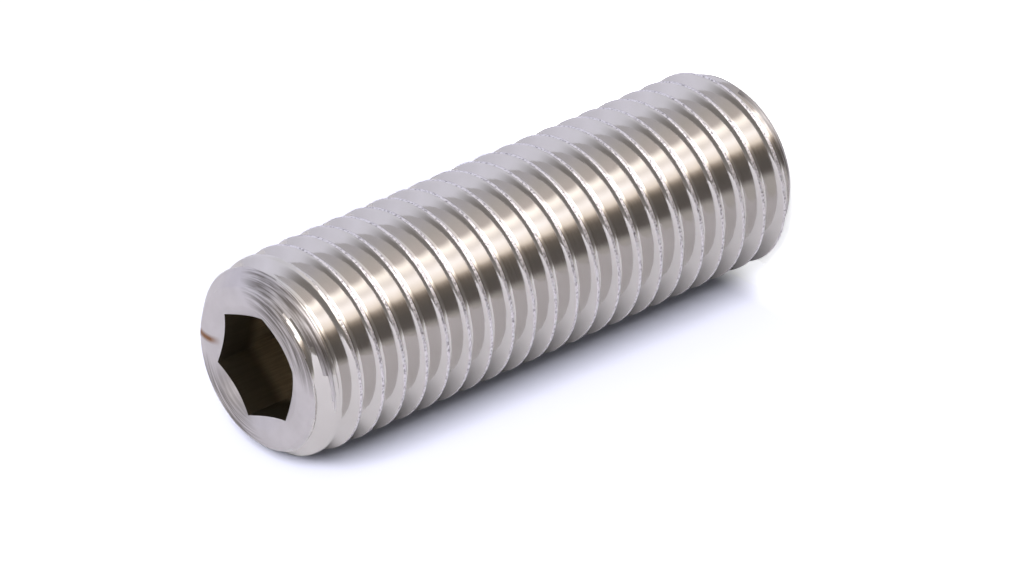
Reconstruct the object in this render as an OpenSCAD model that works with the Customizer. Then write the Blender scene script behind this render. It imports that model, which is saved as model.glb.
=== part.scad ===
// Hexagon socket set screw (grub screw) with a flat point, 3/4-10 inch coarse thread, 2 1/4 long.
// It stands on its flat point: the axis is Z, the point face is at z = 0 and the socket is on top.

/* [Thread] */
// Nominal thread diameter
nominal_d = 19.05; // [18:0.05:22]
// Axial distance from one thread turn to the next
thread_pitch = 2.54; // [2:0.02:3]
// How far the rolled crests stay under the nominal diameter
thread_allowance = 0.2; // [0.05:0.05:0.4]
// Turn of the thread about the axis, seen against the hexagon's corners
thread_start_angle = 80; // [0:5:355]
// How far the first crest at the socket end is left unfilled by the rolling
first_crest_under = 0.4; // [0.1:0.05:0.6]
// Distance from the socket face at which the crests are full
full_thread_from = 4.6; // [3:0.1:8]
// Straight facets in one turn of the thread
facets_per_turn = 36; // [24:4:40]

/* [Body] */
// Whole length from the point face to the socket face
screw_length = 57.9; // [45:0.1:70]
// How far the rim of the socket face lies inside the thread roots
face_under_root = 0.25; // [0.1:0.05:0.6]
// Slope of both end chamfers, measured from the end face
end_chamfer_angle = 45; // [35:1:50]

/* [Point] */
// How far the rim of the flat point lies inside the thread roots
point_under_root = 0.45; // [0.2:0.05:2.5]

/* [Hexagon socket] */
// Width across flats of the hexagon key
key_af = 9.525; // [7:0.025:10.5]
// Play between the key and the socket flats
key_clearance = 0.05; // [0.02:0.01:0.3]
// Depth of the broached hexagon
socket_depth = 13; // [8:0.5:20]
// How far the mouth countersink reaches past the hexagon's corners
mouth_margin = 0.35; // [0.2:0.05:0.7]
// Included angle of the mouth countersink
mouth_angle = 130; // [90:5:140]
// How far the pilot hole is under the socket's width across flats
pilot_undersize = 0.2; // [0.05:0.05:0.8]
// Chip space that the pilot hole leaves under the hexagon
pilot_extra = 2; // [0.5:0.1:4]
// Included angle of the pilot drill's tip
drill_angle = 118; // [90:2:140]

/* [Hidden] */
round_fn = 96;
skin = 0.03;
reach = 1;
flank_angle = 30;

crest_r = (nominal_d - thread_allowance) / 2;
crest_flat = thread_pitch / 8;
thread_depth = 0.6134 * thread_pitch;
root_r = crest_r - thread_depth;
root_flat = thread_pitch - crest_flat - 2 * thread_depth * tan(flank_angle);
flank_rise = thread_depth * tan(flank_angle);
blank_r = crest_r + skin;

face_r = root_r - face_under_root;
point_r = root_r - point_under_root;
shoulder_r = crest_r - first_crest_under;

socket_af = key_af + key_clearance;
socket_corner_r = socket_af / 2 / cos(30);
mouth_r = socket_corner_r + mouth_margin;
mouth_h = mouth_r / tan(mouth_angle / 2);
pilot_d = socket_af - pilot_undersize;
pilot_tip_h = pilot_d / 2 / tan(drill_angle / 2);

// One pitch of the thread as [radius, height] corners, from the lower edge of a root upwards.
profile = [
    [root_r, 0],
    [root_r, root_flat],
    [crest_r, root_flat + flank_rise],
    [crest_r, root_flat + flank_rise + crest_flat]
];
corners = len(profile);
turns = ceil(screw_length / thread_pitch) + 2;
steps = turns * facets_per_turn;

// The corner of the profile that is number j, carried i steps along a right-hand helix.
function helix_point(i, j) =
    let (
        angle = thread_start_angle + 360 * i / facets_per_turn,
        rise = thread_pitch * (i / facets_per_turn - 1)
    )
    [profile[j][0] * cos(angle), profile[j][0] * sin(angle), profile[j][1] + rise];

// The index of corner j at step i. The corner after the last one is the next turn's first.
function corner_id(i, j) =
    j < corners ? i * corners + j : (i + facets_per_turn) * corners;

// The closed edge around an end of the rod: down the profile at step i, then once round.
function rim(i) = concat(
    [for (j = [corners:-1:1]) corner_id(i, j)],
    [for (k = [0:facets_per_turn - 1]) corner_id(i + k, 0)]
);

// A rod with the thread all along it, longer than the screw by over half a turn at each end.
module threaded_rod() {
    side_steps = steps - facets_per_turn;
    points = concat(
        [for (i = [0:steps], j = [0:corners - 1]) helix_point(i, j)],
        [[0, 0, -thread_pitch / 2], [0, 0, thread_pitch * (turns - 1.5)]]
    );
    low_centre = (steps + 1) * corners;
    high_centre = low_centre + 1;
    low_rim = rim(0);
    high_rim = rim(side_steps);
    side = [
        for (i = [0:side_steps - 1], j = [0:corners - 1])
            each [
                [corner_id(i, j), corner_id(i, j + 1), corner_id(i + 1, j + 1)],
                [corner_id(i, j), corner_id(i + 1, j + 1), corner_id(i + 1, j)]
            ]
    ];
    low_cap = [
        for (k = [0:len(low_rim) - 1])
            [low_centre, low_rim[k], low_rim[(k + 1) % len(low_rim)]]
    ];
    high_cap = [
        for (k = [0:len(high_rim) - 1])
            [high_centre, high_rim[(k + 1) % len(high_rim)], high_rim[k]]
    ];
    polyhedron(points = points, faces = concat(side, low_cap, high_cap));
}

// The turned blank that the thread is rolled on: a bar with a chamfer at each end, and a slight
// taper behind the socket end's chamfer, where the rolling doesn't fill the first crests.
module chamfered_blank() {
    slope = tan(end_chamfer_angle);
    rotate_extrude($fn = round_fn)
        polygon([
            [0, 0],
            [point_r, 0],
            [blank_r, (blank_r - point_r) * slope],
            [blank_r, screw_length - full_thread_from],
            [shoulder_r, screw_length - (shoulder_r - face_r) * slope],
            [face_r, screw_length],
            [0, screw_length]
        ]);
}

// What the drill, the broach and the countersink take out of the socket end.
module socket_cut() {
    translate([0, 0, screw_length - socket_depth])
        cylinder(h = socket_depth + reach, r = socket_corner_r, $fn = 6);
    translate([0, 0, screw_length - socket_depth - pilot_extra])
        rotate_extrude($fn = round_fn)
            polygon([
                [0, -pilot_tip_h],
                [pilot_d / 2, 0],
                [pilot_d / 2, socket_depth],
                [0, socket_depth]
            ]);
    translate([0, 0, screw_length - mouth_h])
        cylinder(h = mouth_h, r1 = 0, r2 = mouth_r, $fn = round_fn);
}

module set_screw() {
    color([0.72, 0.71, 0.69])
        difference() {
            intersection() {
                threaded_rod();
                chamfered_blank();
            }
            socket_cut();
        }
}

set_screw();
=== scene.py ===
import bpy
import numpy as np
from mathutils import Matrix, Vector


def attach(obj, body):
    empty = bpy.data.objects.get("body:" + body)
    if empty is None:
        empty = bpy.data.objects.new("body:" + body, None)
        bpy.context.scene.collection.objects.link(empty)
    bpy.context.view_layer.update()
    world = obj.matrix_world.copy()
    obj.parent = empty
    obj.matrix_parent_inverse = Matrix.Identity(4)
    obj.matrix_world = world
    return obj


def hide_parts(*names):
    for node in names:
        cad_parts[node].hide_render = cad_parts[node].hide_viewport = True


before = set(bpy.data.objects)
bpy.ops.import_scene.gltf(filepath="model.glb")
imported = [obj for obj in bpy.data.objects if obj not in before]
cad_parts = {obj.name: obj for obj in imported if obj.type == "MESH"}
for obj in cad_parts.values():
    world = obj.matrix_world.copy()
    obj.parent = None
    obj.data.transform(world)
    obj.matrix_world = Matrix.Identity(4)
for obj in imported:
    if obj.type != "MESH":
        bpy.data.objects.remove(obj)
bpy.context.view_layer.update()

# The screw: one bar of stainless steel, turned to a chamfer at each end. Its 3/4-10 thread is rolled
# on it between dies, which leaves the first crest at the socket end unfilled. It stands on its flat
# point. Its shape is worked out in millimetres.
LENGTH = 57.9
PITCH = 2.54
CREST_R = 9.425
THREAD_DEPTH = 0.6134 * PITCH
ROOT_R = CREST_R - THREAD_DEPTH
HALF_CREST = PITCH / 16
FLANK_SLOPE = np.tan(np.radians(30.0))
# Rounding of the crest's corners and of the root, in square millimetres, and how far the root is
# then let back down.
CREST_EASE = 0.0030
ROOT_EASE = 0.050
ROOT_SINK = 0.02
# The bearing at which the thread starts, and the height of a crest's middle at that bearing.
THREAD_START = np.radians(80.0)
CREST_RISE = PITCH - HALF_CREST - THREAD_DEPTH * FLANK_SLOPE
# The rims of the socket face and of the flat point, inside the thread's roots.
FACE_R = ROOT_R - 0.25
POINT_R = ROOT_R - 0.45
# The ring round the socket is slightly domed: its highest circle, the radius of its curve, and how
# far its rim then lies below its top.
RING_TOP_R = 6.5
RING_CURVE = 2.6
RIM_DROP = (FACE_R - RING_TOP_R) ** 2 / (2 * RING_CURVE)
# The unfilled crests: how far under full, how fast they fill, and where that starts.
UNFILLED = 0.47
FILL_RATE = 0.155
FILL_FROM = 1.2
CORNER_EASE = 0.06
FACETS = 132
facet_angle = np.linspace(0.0, 2 * np.pi, FACETS + 1)


def thread_radius(offset):
    """Distance of the thread's surface from the axis, at an offset along the axis from the middle
    of a crest: the crest's radius, less the distance past the crest's flat over the flank's slope,
    and never under the root. Both corners are rounded by a square root in place of a maximum."""
    off_crest = np.abs(offset) - HALF_CREST
    eased = (off_crest + np.sqrt(off_crest**2 + CREST_EASE)) / 2
    depth = eased / FLANK_SLOPE
    short = THREAD_DEPTH - depth
    return ROOT_R + (short + np.sqrt(short**2 + ROOT_EASE)) / 2 - ROOT_SINK


def lower_of(a, b, ease):
    """The smaller of two radii, with the corner where they cross eased over about that length: half
    of their sum, less half of the root of their squared difference plus the squared ease."""
    return (a + b - np.sqrt((a - b) ** 2 + ease**2)) / 2


def turned_limit(height):
    """The largest radius the bar has at a height: a 45 degree chamfer at each end, and behind the
    socket end's chamfer a straight taper where the rolled crests are not yet full."""
    from_face = LENGTH - RIM_DROP - height
    socket_end = np.minimum(FACE_R + from_face, CREST_R - UNFILLED + FILL_RATE * (from_face - FILL_FROM))
    point_end = POINT_R + height
    return np.minimum(socket_end, point_end)


def grid_corners(x, y, z, along, across, finish):
    """Triangles of a grid whose first axis goes round the screw and second axis goes along it, two
    to each cell, with each triangle's finish taken from its cell's first corner."""
    first = np.stack([x, y, z, along, across], -1)
    low, high = first[:-1, :-1], first[:-1, 1:]
    low_next, high_next = first[1:, :-1], first[1:, 1:]
    pairs = np.concatenate(
        [np.stack([low, low_next, high_next], 2), np.stack([low, high_next, high], 2)], 1
    )
    finish = np.broadcast_to(finish, x.shape)[:-1, :-1]
    return pairs.reshape(-1, 3, 5), np.concatenate([finish, finish], 1).astype(np.int32).ravel()


# The finishes, by their places in the screw's list of materials.
TURNED = 1
BROACHED = 2

# Rows across one pitch, from root to root, closest together where the profile bends. They are
# repeated for every turn, with two spare turns past each end.
half_rows = np.array([1.27, 1.17, 1.08, 1.00, 0.88, 0.66, 0.44, 0.29, 0.21, 0.16, 0.11, 0.04])
pitch_rows = np.concatenate([-half_rows, half_rows[:0:-1]])
turns = int(np.ceil(LENGTH / PITCH)) + 4
row_turn = np.repeat(np.arange(turns) - 2, len(pitch_rows))
row_offset = np.tile(pitch_rows, turns)

# The thread and both chamfers are one sheet: rows follow the helix, and rows that would run past
# an end are laid on that end's rim, where they close up.
angle_2d = facet_angle[:, None] + 0 * row_offset[None, :]
centre = CREST_RISE + PITCH * ((angle_2d - THREAD_START) / (2 * np.pi) + row_turn[None, :])
height = np.clip(centre + row_offset[None, :], 0.0, LENGTH - RIM_DROP)
rolled = thread_radius(height - centre)
radius = lower_of(rolled, turned_limit(height), CORNER_EASE)
# The pressed crests are uneven by up to 0.012 mm, over the outermost 0.12 mm of the thread.
grain = np.random.default_rng(7).uniform(-1, 1, radius.shape)
grain[-1] = np.roll(grain[0], -len(pitch_rows))
radius = radius + 0.012 * grain * (radius > CREST_R - 0.12)
radius = np.where(height <= 0, POINT_R, np.where(height >= LENGTH - RIM_DROP, FACE_R, radius))
# Where the chamfer cuts below the rolled thread, the steel is turned.
chamfer = np.minimum(FACE_R + LENGTH - RIM_DROP - height, POINT_R + height)
run_length = (angle_2d + 2 * np.pi * row_turn[None, :]) * ROOT_R
thread_part = grid_corners(
    radius * np.cos(angle_2d), radius * np.sin(angle_2d), height,
    run_length, row_offset[None, :] + 0 * angle_2d, chamfer < rolled,
)

# The socket end, from its eased rim inwards: the turned ring, the countersink, and down the six
# broached flats to the pilot hole and its drilled cone. The countersink reaches 0.35 past the
# hexagon's corners. The pilot hole is 0.2 narrower than the hexagon's flats and goes 2 deeper. The
# flares are the radius that the countersink and the drill's tip gain for each millimetre of height.
SOCKET_AF = 9.575
SOCKET_DEPTH = 13.0
MOUTH_R = SOCKET_AF / np.sqrt(3.0) + 0.35
MOUTH_FLARE = np.tan(np.radians(65.0))
PILOT_R = SOCKET_AF / 2 - 0.1
PILOT_DEPTH = SOCKET_DEPTH + 2.0
DRILL_FLARE = np.tan(np.radians(59.0))


def round_grid(radii, heights):
    """Radii and heights of rows, each repeated for every facet round the screw."""
    shape = (FACETS + 1, len(radii))
    return np.broadcast_to(radii, shape), np.broadcast_to(heights, shape)


columns = facet_angle[:, None]
hex_r = SOCKET_AF / 2 / np.cos(facet_angle % (np.pi / 3) - np.pi / 6)
ring_r = MOUTH_R + (FACE_R - MOUTH_R) * np.linspace(1, 0, 20)
ring_z = LENGTH - (ring_r - RING_TOP_R) ** 2 / (2 * RING_CURVE)
face_r, face_z = round_grid(ring_r, ring_z)
sink_r = MOUTH_R + (hex_r[:, None] - MOUTH_R) * np.linspace(0.15, 1.0, 6)
sink_z = ring_z[-1] - (MOUTH_R - sink_r) / MOUTH_FLARE
end_r = np.concatenate([face_r, sink_r], 1)
end_z = np.concatenate([face_z, sink_z], 1)
end_part = grid_corners(
    end_r * np.cos(columns), end_r * np.sin(columns), end_z, end_r * columns, end_r, TURNED
)
fall = np.linspace(0.0, 1.0, 12)
wall_r = np.broadcast_to(hex_r[:, None], (FACETS + 1, len(fall)))
wall_z = sink_z[:, -1:] + (LENGTH - SOCKET_DEPTH - sink_z[:, -1:]) * fall
cone_depth = PILOT_DEPTH + PILOT_R * np.linspace(0.2, 1.0, 6) / DRILL_FLARE
pilot_r, pilot_z = round_grid(
    np.concatenate([[PILOT_R, PILOT_R], PILOT_R * np.linspace(0.8, 0.0, 6)]),
    LENGTH - np.concatenate([[SOCKET_DEPTH, PILOT_DEPTH], cone_depth]),
)
bore_r = np.concatenate([wall_r, pilot_r], 1)
bore_z = np.concatenate([wall_z, pilot_z], 1)
bore_part = grid_corners(
    bore_r * np.cos(columns), bore_r * np.sin(columns), bore_z,
    PILOT_R * columns + 0 * bore_z, bore_z, BROACHED,
)

# The flat point is faced off square, from its middle out to the rim of its chamfer.
tip_r, tip_z = round_grid(POINT_R * np.linspace(0, 1, 15), np.zeros(15))
tip_part = grid_corners(
    tip_r * np.cos(columns), tip_r * np.sin(columns), tip_z, tip_r * columns, tip_r, TURNED
)

# The sheets meet on shared rims. Corners that round to the same 0.0002 mm become one, and the
# triangles that this closes up are left out. The mesh itself is in metres.
WELD = 2e-4
MILLIMETRE = 0.001
sheets = [thread_part, end_part, bore_part, tip_part]
corners = np.concatenate([sheet[0] for sheet in sheets])
finish = np.concatenate([sheet[1] for sheet in sheets])
points = corners[..., :3].reshape(-1, 3)
keys = np.round(points / WELD).astype(np.int64)
_, first_seen, joined = np.unique(keys, axis=0, return_index=True, return_inverse=True)
places = points[first_seen] * MILLIMETRE
triangles = joined.reshape(-1, 3)
whole = (triangles != np.roll(triangles, 1, 1)).all(1)
triangles, corners, finish = triangles[whole], corners[whole], finish[whole]

mesh = bpy.data.meshes.new("grub_screw")
mesh.vertices.add(len(places))
mesh.vertices.foreach_set("co", places.astype(np.float32).ravel())
mesh.loops.add(triangles.size)
mesh.loops.foreach_set("vertex_index", triangles.astype(np.int32).ravel())
mesh.polygons.add(len(triangles))
mesh.polygons.foreach_set("loop_start", np.arange(0, triangles.size, 3, dtype=np.int32))
mesh.polygons.foreach_set("material_index", finish)
run_map = mesh.uv_layers.new(name="run")
run_map.data.foreach_set("uv", corners[..., 3:].astype(np.float32).ravel())
mesh.update(calc_edges=True)
mesh.validate()
mesh.polygons.foreach_set("use_smooth", np.ones(len(mesh.polygons), bool))
mesh.set_sharp_from_angle(angle=np.radians(42.0))


def put_in_scene(name, data):
    """An object that holds a mesh, a lamp or a camera, linked into the scene."""
    made = bpy.data.objects.new(name, data)
    bpy.context.scene.collection.objects.link(made)
    return made


screw = put_in_scene("grub_screw", mesh)
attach(screw, "root")
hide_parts("set_screw")


def linear(code):
    """An sRGB hex colour as linear red, green, blue and a full alpha."""
    parts = np.array([int(code[i : i + 2], 16) for i in (1, 3, 5)]) / 255
    light = np.where(parts <= 0.04045, parts / 12.92, ((parts + 0.055) / 1.055) ** 2.4)
    return (*light, 1.0)


def add(tree, kind, settings=None, **links):
    """Adds a node, sets its properties, and fills its inputs with values or other nodes' outputs.
    An input goes by its name, with _ for a space, or by i and its number."""
    made = tree.nodes.new(kind)
    for name, value in (settings or {}).items():
        setattr(made, name, value)
    for name, value in links.items():
        key = int(name[1:]) if name[1:].isdigit() else name.replace("_", " ")
        socket = made.inputs[key]
        if isinstance(value, bpy.types.NodeSocket):
            tree.links.new(value, socket)
        else:
            socket.default_value = value
    return made


def new_material(name, metallic):
    """A material, its node tree and its shader, which is a metal at 1 and isn't one at 0."""
    made = bpy.data.materials.new(name)
    made.use_nodes = True
    shader = made.node_tree.nodes["Principled BSDF"]
    shader.inputs["Metallic"].default_value = metallic
    return made, made.node_tree, shader


def distance_from_axis(tree, place):
    """The distance of each point from the screw's axis: the length of its place with no height."""
    flat_place = add(
        tree, "ShaderNodeVectorMath", {"operation": "MULTIPLY"}, i0=place.outputs["Object"], i1=(1, 1, 0)
    )
    return add(tree, "ShaderNodeVectorMath", {"operation": "LENGTH"}, i0=flat_place.outputs[0])


# Rolled stainless steel: the dies burnish the flanks nearly bright and draw fine streaks along
# the thread. The crests are only pressed, so they are whiter, rough and speckled. In this and the
# other finishes, lengths are in metres.
rolled_steel, tree, shader = new_material("rolled_stainless_steel", 1.0)
place = add(tree, "ShaderNodeTexCoord")
from_axis = distance_from_axis(tree, place)
crest = add(
    tree, "ShaderNodeMapRange", {"interpolation_type": "SMOOTHSTEP"},
    Value=from_axis.outputs["Value"], From_Min=(CREST_R - 0.10) / 1000, From_Max=(CREST_R - 0.03) / 1000,
)
# Streaks 0.06 mm wide and about 6 mm long follow the thread. Its run map is in millimetres.
run = add(tree, "ShaderNodeUVMap", {"uv_map": "run"})
streak_place = add(
    tree, "ShaderNodeVectorMath", {"operation": "MULTIPLY"}, i0=run.outputs[0], i1=(0.16, 16.0, 1)
)
streaks = add(tree, "ShaderNodeTexNoise", i0=streak_place.outputs[0], Scale=1.0, Detail=3.0)
# Speckle about 0.2 mm across on the crests, and patches about 2 mm across on the flanks.
speckle = add(tree, "ShaderNodeTexNoise", i0=place.outputs["Object"], Scale=5000.0, Detail=4.0)
nicks = add(tree, "ShaderNodeMapRange", Value=speckle.outputs[0], From_Min=0.34, From_Max=0.52)
cloud = add(tree, "ShaderNodeTexNoise", i0=place.outputs["Object"], Scale=450.0, Detail=2.0)
rough_streaks = add(
    tree, "ShaderNodeMapRange",
    Value=streaks.outputs[0], From_Min=0.3, From_Max=0.7, To_Min=0.06, To_Max=0.14,
)
rough = add(
    tree, "ShaderNodeMix", {"data_type": "FLOAT"},
    i0=crest.outputs[0], i2=rough_streaks.outputs[0], i3=0.36,
)
tree.links.new(rough.outputs[0], shader.inputs["Roughness"])
flank_tint = add(
    tree, "ShaderNodeMix", {"data_type": "RGBA"},
    i0=cloud.outputs[0], i6=linear("#CBC8C4"), i7=linear("#D6D3D1"),
)
crest_tint = add(
    tree, "ShaderNodeMix", {"data_type": "RGBA"},
    i0=nicks.outputs[0], i6=linear("#918D92"), i7=linear("#E6E3E8"),
)
tint = add(
    tree, "ShaderNodeMix", {"data_type": "RGBA"},
    i0=crest.outputs[0], i6=flank_tint.outputs[2], i7=crest_tint.outputs[2],
)
tree.links.new(tint.outputs[2], shader.inputs["Base Color"])
streak_bump = add(tree, "ShaderNodeBump", Strength=0.10, Distance=0.00001, Height=streaks.outputs[0])
crest_height = add(
    tree, "ShaderNodeMath", {"operation": "MULTIPLY"}, i0=crest.outputs[0], i1=speckle.outputs[0]
)
bumps = add(
    tree, "ShaderNodeBump", Strength=0.8, Distance=0.00005,
    Height=crest_height.outputs[0], Normal=streak_bump.outputs[0],
)
tree.links.new(bumps.outputs[0], shader.inputs["Normal"])
mesh.materials.append(rolled_steel)

# Turned stainless steel: the tool leaves fine rings on both end faces and on the countersink. They
# spread a highlight towards the axis and away from it.
turned_steel, tree, shader = new_material("turned_stainless_steel", 1.0)
place = add(tree, "ShaderNodeTexCoord")
from_axis = distance_from_axis(tree, place)
# Patches about 3 mm across, and rings about 0.4 mm apart with finer ones between them.
wander = add(tree, "ShaderNodeTexNoise", i0=place.outputs["Object"], Scale=350.0, Detail=3.0)
ring_place = add(tree, "ShaderNodeCombineXYZ", i0=from_axis.outputs["Value"], i1=0.0)
rings = add(tree, "ShaderNodeTexNoise", i0=ring_place.outputs[0], Scale=2500.0, Detail=4.0)
tint = add(
    tree, "ShaderNodeMix", {"data_type": "RGBA"},
    i0=wander.outputs[0], i6=linear("#B9B5B6"), i7=linear("#E2DFE1"),
)
# Painted reflection: two opposite sides carry dark arcs, about 0.2 mm wide and 4 mm long, painted into the
# colour where a turned face reflects dark streaks.
DARK_REFLECTION_WAY = (0.087, -0.996, 0)
run = add(tree, "ShaderNodeUVMap", {"uv_map": "run"})
arc_place = add(
    tree, "ShaderNodeVectorMath", {"operation": "MULTIPLY"}, i0=run.outputs[0], i1=(0.25, 5.0, 1)
)
arcs = add(tree, "ShaderNodeTexNoise", i0=arc_place.outputs[0], Scale=1.0, Detail=3.0)
reflection_side_offset = add(
    tree, "ShaderNodeVectorMath", {"operation": "DOT_PRODUCT"}, i0=place.outputs["Object"], i1=DARK_REFLECTION_WAY
)
either_side = add(tree, "ShaderNodeMath", {"operation": "ABSOLUTE"}, i0=reflection_side_offset.outputs["Value"])
painted_reflection_sides = add(
    tree, "ShaderNodeMapRange",
    Value=either_side.outputs[0], From_Min=0.0047, From_Max=0.0066, To_Max=0.9,
)
painted_reflection_arcs = add(tree, "ShaderNodeMapRange", Value=arcs.outputs[0], From_Min=0.38, From_Max=0.58)
painted_reflection_amount = add(
    tree, "ShaderNodeMath", {"operation": "MULTIPLY"}, i0=painted_reflection_sides.outputs[0], i1=painted_reflection_arcs.outputs[0]
)
# The painted dark reflection is mixed over the ring's own tone here.
with_painted_reflection = add(
    tree, "ShaderNodeMix", {"data_type": "RGBA"},
    i0=painted_reflection_amount.outputs[0], i6=tint.outputs[2], i7=linear("#77726F"),
)
# A brown stain runs out over the ring from one corner of the socket. It is 0.2 mm wide and fades
# out over 0.4 mm to each side.
STAIN_WAY = (0.788, 0.616, 0)
STAIN_SIDE_WAY = (-0.616, 0.788, 0)
stain_along = add(
    tree, "ShaderNodeVectorMath", {"operation": "DOT_PRODUCT"}, i0=place.outputs["Object"], i1=STAIN_WAY
)
stain_across = add(
    tree, "ShaderNodeVectorMath", {"operation": "DOT_PRODUCT"},
    i0=place.outputs["Object"], i1=STAIN_SIDE_WAY,
)
off_stain = add(tree, "ShaderNodeMath", {"operation": "ABSOLUTE"}, i0=stain_across.outputs["Value"])
stain_side = add(tree, "ShaderNodeMapRange", Value=off_stain.outputs[0], From_Min=0.00050, From_Max=0.00010)
stain_start = add(
    tree, "ShaderNodeMapRange", Value=stain_along.outputs["Value"], From_Min=0.0050, From_Max=0.0060
)
stain = add(
    tree, "ShaderNodeMath", {"operation": "MULTIPLY"}, i0=stain_side.outputs[0], i1=stain_start.outputs[0]
)
stained = add(
    tree, "ShaderNodeMix", {"data_type": "RGBA"},
    i0=stain.outputs[0], i6=with_painted_reflection.outputs[2], i7=linear("#8C674C"),
)
tree.links.new(stained.outputs[2], shader.inputs["Base Color"])
rough = add(
    tree, "ShaderNodeMapRange",
    Value=wander.outputs[0], From_Min=0.3, From_Max=0.7, To_Min=0.36, To_Max=0.50,
)
tree.links.new(rough.outputs[0], shader.inputs["Roughness"])
round_axis = add(tree, "ShaderNodeTangent", {"direction_type": "RADIAL", "axis": "Z"})
tree.links.new(round_axis.outputs[0], shader.inputs["Tangent"])
shader.inputs["Anisotropic"].default_value = 0.85
shader.inputs["Anisotropic Rotation"].default_value = 0.25
ring_bump = add(tree, "ShaderNodeBump", Strength=0.8, Distance=0.00006, Height=rings.outputs[0])
tree.links.new(ring_bump.outputs[0], shader.inputs["Normal"])
mesh.materials.append(turned_steel)

# Broached stainless steel: the broach drags scores down the six flats, and oil and scale that stay
# in the socket leave it brown and dull.
broached_steel, tree, shader = new_material("broached_stainless_steel", 1.0)
place = add(tree, "ShaderNodeTexCoord")
# Scores 0.15 mm wide and about 4 mm long run down the flats.
score_place = add(
    tree, "ShaderNodeVectorMath", {"operation": "MULTIPLY"},
    i0=place.outputs["Object"], i1=(6500, 6500, 260),
)
scores = add(tree, "ShaderNodeTexNoise", i0=score_place.outputs[0], Scale=1.0, Detail=3.0)
tint = add(
    tree, "ShaderNodeMix", {"data_type": "RGBA"},
    i0=scores.outputs[0], i6=linear("#A2957E"), i7=linear("#E6DCC8"),
)
# Painted shade: the first 4 mm under the mouth are darkened, so that the deeper flats look lit through the
# mouth.
height_of = add(tree, "ShaderNodeSeparateXYZ", i0=place.outputs["Object"])
painted_mouth_shade = add(
    tree, "ShaderNodeMapRange", {"interpolation_type": "SMOOTHSTEP"},
    Value=height_of.outputs[2], From_Min=0.0528, From_Max=0.0545, To_Max=0.8,
)
# The painted shade darkens the walls near the mouth over the broached tone.
with_mouth_shade = add(
    tree, "ShaderNodeMix", {"data_type": "RGBA"},
    i0=painted_mouth_shade.outputs[0], i6=tint.outputs[2], i7=linear("#5F5A4A"),
)
tree.links.new(with_mouth_shade.outputs[2], shader.inputs["Base Color"])
shader.inputs["Roughness"].default_value = 0.36
score_bump = add(tree, "ShaderNodeBump", Strength=0.4, Distance=0.00003, Height=scores.outputs[0])
tree.links.new(score_bump.outputs[0], shader.inputs["Normal"])
mesh.materials.append(broached_steel)

# The floor: a plain white sheet under the screw, faintly lit from below. It is a stage, and neither
# the steel's reflections nor light that bounces off a matt surface finds it. Metres from here on.
FLOOR_REACH = 2.0
floor_mesh = bpy.data.meshes.new("floor")
floor_mesh.from_pydata(
    [(-FLOOR_REACH, -FLOOR_REACH, 0), (FLOOR_REACH, -FLOOR_REACH, 0),
     (FLOOR_REACH, FLOOR_REACH, 0), (-FLOOR_REACH, FLOOR_REACH, 0)],
    [], [(0, 1, 2, 3)],
)
floor = put_in_scene("floor", floor_mesh)
floor.visible_glossy = False
floor.visible_diffuse = False
white_card, tree, card = new_material("white_card", 0.0)
card.inputs["Base Color"].default_value = linear("#F3F3F3")
card.inputs["Roughness"].default_value = 0.9
lit_floor = white_card.copy()
lit_floor.name = "lit_from_below"
glow = lit_floor.node_tree.nodes["Principled BSDF"]
glow.inputs["Emission Color"].default_value = linear("#FFFFFF")
glow.inputs["Emission Strength"].default_value = 0.6
floor_mesh.materials.append(lit_floor)

# The surround: tall soft panels, which only the steel's reflections see. One pair is bright and
# warm, and the next is left dark. Each stop is a bearing round the screw in degrees and a level of
# light: 0 is along the side card, 90 is straight out from its face, and below 0 is its own side.
BRIGHTEST = 3.0
PANEL_STOPS = [
    (-180, (0.80, 0.79, 0.90)),
    (-150, (0.80, 0.79, 0.86)),
    (-95, (0.78, 0.77, 0.80)),
    (-45, (0.78, 0.76, 0.77)),
    (-3, (0.80, 0.78, 0.78)),
    (6, (0.21, 0.19, 0.185)),
    (20, (0.195, 0.18, 0.172)),
    (33, (0.28, 0.245, 0.215)),
    (39, (0.72, 0.61, 0.52)),
    (44, (2.0, 1.82, 1.64)),
    (56, (2.7, 2.62, 2.65)),
    (65, (2.0, 1.90, 1.86)),
    (75, (3.0, 2.88, 2.78)),
    (83, (1.15, 1.06, 1.03)),
    (100, (0.96, 0.92, 0.91)),
    (122, (0.86, 0.85, 0.93)),
    (142, (0.86, 0.86, 0.94)),
    (165, (0.92, 0.91, 1.04)),
    (180, (0.80, 0.79, 0.90)),
]
along_card = Vector((-0.7520, -0.6591, 0.0))
off_card = Vector((0.6591, -0.7520, 0.0))
world = bpy.data.worlds.new("soft_panels")
bpy.context.scene.world = world
world.use_nodes = True
tree = world.node_tree
tree.nodes.clear()
look = add(tree, "ShaderNodeTexCoord")
look_along = add(
    tree, "ShaderNodeVectorMath", {"operation": "DOT_PRODUCT"},
    i0=look.outputs["Generated"], i1=along_card,
)
look_out = add(
    tree, "ShaderNodeVectorMath", {"operation": "DOT_PRODUCT"},
    i0=look.outputs["Generated"], i1=off_card,
)
bearing = add(
    tree, "ShaderNodeMath", {"operation": "ARCTAN2"},
    i0=look_out.outputs["Value"], i1=look_along.outputs["Value"],
)
share = add(tree, "ShaderNodeMapRange", Value=bearing.outputs[0], From_Min=-np.pi, From_Max=np.pi)
panels = add(tree, "ShaderNodeValToRGB", i0=share.outputs[0])
ramp = panels.color_ramp
while len(ramp.elements) < len(PANEL_STOPS):
    ramp.elements.new(0.5)
for element, (degrees, level) in zip(ramp.elements, PANEL_STOPS):
    element.position = degrees / 360 + 0.5
    element.color = (*[part / BRIGHTEST for part in level], 1)
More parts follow.
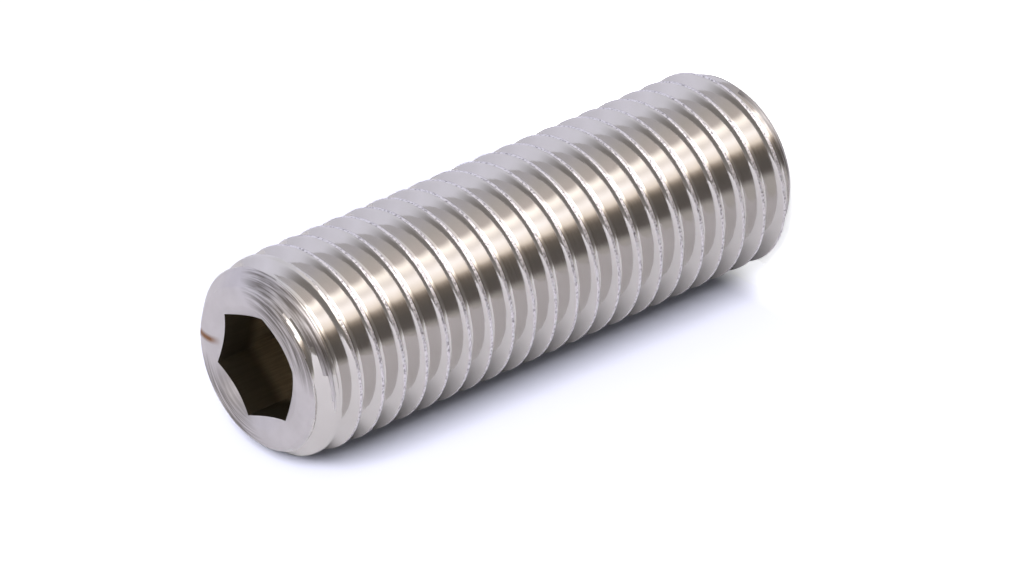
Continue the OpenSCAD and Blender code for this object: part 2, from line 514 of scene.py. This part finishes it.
# From 45 to 65 degrees up, the panels give way to a dark ceiling.
height_of = add(tree, "ShaderNodeSeparateXYZ", i0=look.outputs["Generated"])
ceiling = add(
    tree, "ShaderNodeMapRange", {"interpolation_type": "SMOOTHSTEP"},
    Value=height_of.outputs[2], From_Min=0.70, From_Max=0.90,
)
room = add(
    tree, "ShaderNodeMix", {"data_type": "RGBA"},
    i0=ceiling.outputs[0], i6=panels.outputs[0],
    i7=(0.27 / BRIGHTEST, 0.25 / BRIGHTEST, 0.24 / BRIGHTEST, 1),
)
# Light that has already met a matt surface finds the room nearly black, which keeps the shadow
# where the crests touch the card dark. Matt surfaces get an even fill, and behind it all is white.
path = add(tree, "ShaderNodeLightPath")
after_matt = add(
    tree, "ShaderNodeMix", {"data_type": "RGBA"},
    i0=path.outputs["Diffuse Depth"], i6=room.outputs[2], i7=(0.03, 0.03, 0.03, 1),
)
fill = add(
    tree, "ShaderNodeMix", {"data_type": "RGBA"},
    i0=path.outputs["Is Diffuse Ray"], i6=after_matt.outputs[2], i7=(0.182, 0.182, 0.182, 1),
)
backdrop = add(
    tree, "ShaderNodeMix", {"data_type": "RGBA"},
    i0=path.outputs["Is Camera Ray"], i6=fill.outputs[2], i7=(0.34, 0.34, 0.34, 1),
)
lit = add(tree, "ShaderNodeBackground", Color=backdrop.outputs[2], Strength=BRIGHTEST)
add(tree, "ShaderNodeOutputWorld", Surface=lit.outputs[0])

# The side card: white card that stands on the floor, just clear of the crests. Its back lets
# everything through, so that it never hides the screw, and it throws no shadow.
CARD_AWAY = 0.00944
CARD_HALF_WIDTH = 0.3
CARD_HEIGHT = 0.4
card_mesh = bpy.data.meshes.new("side_card")
card_foot = -CARD_AWAY * off_card
card_reach = CARD_HALF_WIDTH * along_card
card_top = Vector((0, 0, CARD_HEIGHT))
card_mesh.from_pydata(
    [card_foot - card_reach, card_foot + card_reach,
     card_foot + card_reach + card_top, card_foot - card_reach + card_top],
    [], [(3, 2, 1, 0)],
)
side_card = put_in_scene("side_card", card_mesh)
side_card.visible_shadow = False
one_sided = white_card.copy()
one_sided.name = "one_sided_card"
tree = one_sided.node_tree
card_face = tree.nodes["Principled BSDF"]
# The card is faintly blue. The steel's reflections show it a little darker than it is, and nearly
# black where the light has already met a matt surface.
seen_by = add(tree, "ShaderNodeLightPath")
in_metal = add(
    tree, "ShaderNodeMix", {"data_type": "RGBA"},
    i0=seen_by.outputs["Diffuse Depth"], i6=linear("#B6B4BA"), i7=linear("#383838"),
)
card_tint = add(
    tree, "ShaderNodeMix", {"data_type": "RGBA"},
    i0=seen_by.outputs["Is Glossy Ray"], i6=linear("#C8C9D9"), i7=in_metal.outputs[2],
)
tree.links.new(card_tint.outputs[2], card_face.inputs["Base Color"])
# Its lowest 6 mm are lit too, for the camera alone, so that they meet the lit floor with no line.
card_place = add(tree, "ShaderNodeTexCoord")
card_height = add(tree, "ShaderNodeSeparateXYZ", i0=card_place.outputs["Object"])
from_floor = add(
    tree, "ShaderNodeMapRange", {"interpolation_type": "SMOOTHSTEP"},
    Value=card_height.outputs[2], From_Min=0.0010, From_Max=0.0060, To_Min=0.7, To_Max=0.0,
)
low_light = add(
    tree, "ShaderNodeMath", {"operation": "MULTIPLY"},
    i0=from_floor.outputs[0], i1=seen_by.outputs["Is Camera Ray"],
)
card_face.inputs["Emission Color"].default_value = linear("#FFFFFF")
tree.links.new(low_light.outputs[0], card_face.inputs["Emission Strength"])
facing = add(tree, "ShaderNodeNewGeometry")
clear = add(tree, "ShaderNodeBsdfTransparent")
choice = add(
    tree, "ShaderNodeMixShader",
    i0=facing.outputs["Backfacing"], i1=card_face.outputs[0], i2=clear.outputs[0],
)
tree.links.new(choice.outputs[0], tree.nodes["Material Output"].inputs["Surface"])
card_mesh.materials.append(one_sided)

# The lamp: a large softbox on the open side of the card, as high as it is far away, aimed at the
# screw. Neither the steel's reflections nor the camera sees it.
LAMP_BEARING = np.radians(66)
LAMP_AWAY = 0.85
LAMP_UP = 0.85
LAMP_AIM = Vector((0, 0, 0.02))
lamp = bpy.data.lights.new("overhead_softbox", "AREA")
lamp.size = 0.66
lamp.energy = 31.5
softbox = put_in_scene("overhead_softbox", lamp)
lamp_way = np.cos(LAMP_BEARING) * along_card + np.sin(LAMP_BEARING) * off_card
softbox.location = LAMP_AWAY * lamp_way + Vector((0, 0, LAMP_UP))
softbox.rotation_euler = (LAMP_AIM - softbox.location).to_track_quat("-Z", "Y").to_euler()
softbox.visible_glossy = False
softbox.visible_camera = False

# The camera looks down on the screw with a long lens, turned so that the socket is at lower left.
view = bpy.data.cameras.new("camera")
view.sensor_width = 36.0
view.lens = 280.262
view.clip_start = 0.05
view.clip_end = 20.0
camera = put_in_scene("camera", view)
camera.location = (-0.117264, -0.581416, 0.439321)
camera.rotation_euler = np.radians((-30.08687, 48.85804, -138.76702))
bpy.context.scene.camera = camera
bpy.context.scene.view_settings.view_transform = "Standard"
